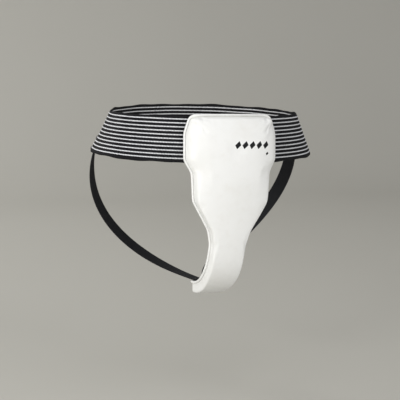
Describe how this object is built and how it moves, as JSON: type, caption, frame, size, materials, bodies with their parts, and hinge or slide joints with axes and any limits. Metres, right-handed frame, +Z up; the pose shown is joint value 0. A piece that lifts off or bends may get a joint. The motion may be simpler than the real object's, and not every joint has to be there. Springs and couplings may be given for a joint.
{
  "type": "groin protector",
  "caption": "Padded groin protector with a slide-in cup in a top pocket, a striped elastic waistband with a rear hook-and-loop closure, and two leg straps.",
  "frame": {"origin": "centre of the waist opening, at the waistband's mid-height", "axes": "+X across the body towards the viewer's right, -Y the front, +Z up; shown as worn"},
  "size_m": [0.3359, 0.2261, 0.2704],
  "materials": {
    "white_skin": "smooth coated textile, satin",
    "foam": "closed-cell foam sheet",
    "lining": "thin woven cotton lining",
    "lining_white": "brushed cotton lining",
    "piping": "coated bias binding",
    "cord_core": "twisted cotton cord",
    "cup_plastic": "moulded polypropylene, fine matte",
    "cup_rim_rubber": "soft moulded edging",
    "striped_elastic": "knitted elastic, black with raised white stripes",
    "loop_pile": "brushed loop tape",
    "hook_plastic": "moulded hook tape",
    "black_webbing": "plain woven tape",
    "black_elastic": "ribbed elastic",
    "thread": "polyester thread",
    "label_satin": "woven satin, blank"
  },
  "bodies": {
    "guard": {"front_cover": "white_skin", "front_foam": "foam", "pocket_liner": "lining", "pocket_foam": "foam", "back_padding": "foam", "back_lining": "lining_white", "edge_piping": "piping", "piping_cord": "cord_core", "waistband_right": "striped_elastic", "waistband_left": "striped_elastic", "loop_tape": "loop_pile", "closure_tab_base": "black_webbing", "anchor_tape_right": "black_webbing", "anchor_tape_left": "black_webbing", "leg_strap_right": "black_elastic", "leg_strap_left": "black_elastic", "tail_patch": "black_webbing", "strap_tacks_right": "thread", "strap_tacks_left": "thread", "care_label": "label_satin"},
    "cup": {"cup_shell": "cup_plastic", "cup_rim": "cup_rim_rubber"},
    "tab": {"closure_tab": "black_webbing", "hook_tape": "hook_plastic", "tab_end_binding": "black_webbing"}
  },
  "joints": [
    {"name": "cup_withdraw", "type": "hinge", "parent": "guard", "child": "cup", "pos_m": [0, 0.3855, -0.061], "axis": [-1, 0, 0], "range_deg": [0, 24]},
    {"name": "tab_peel", "type": "hinge", "parent": "guard", "child": "tab", "pos_m": [-0.04263, 0.10197, 0.00083], "axis": [0.0386, -0.2189, 0.975], "range_deg": [0, 110]}
  ]
}
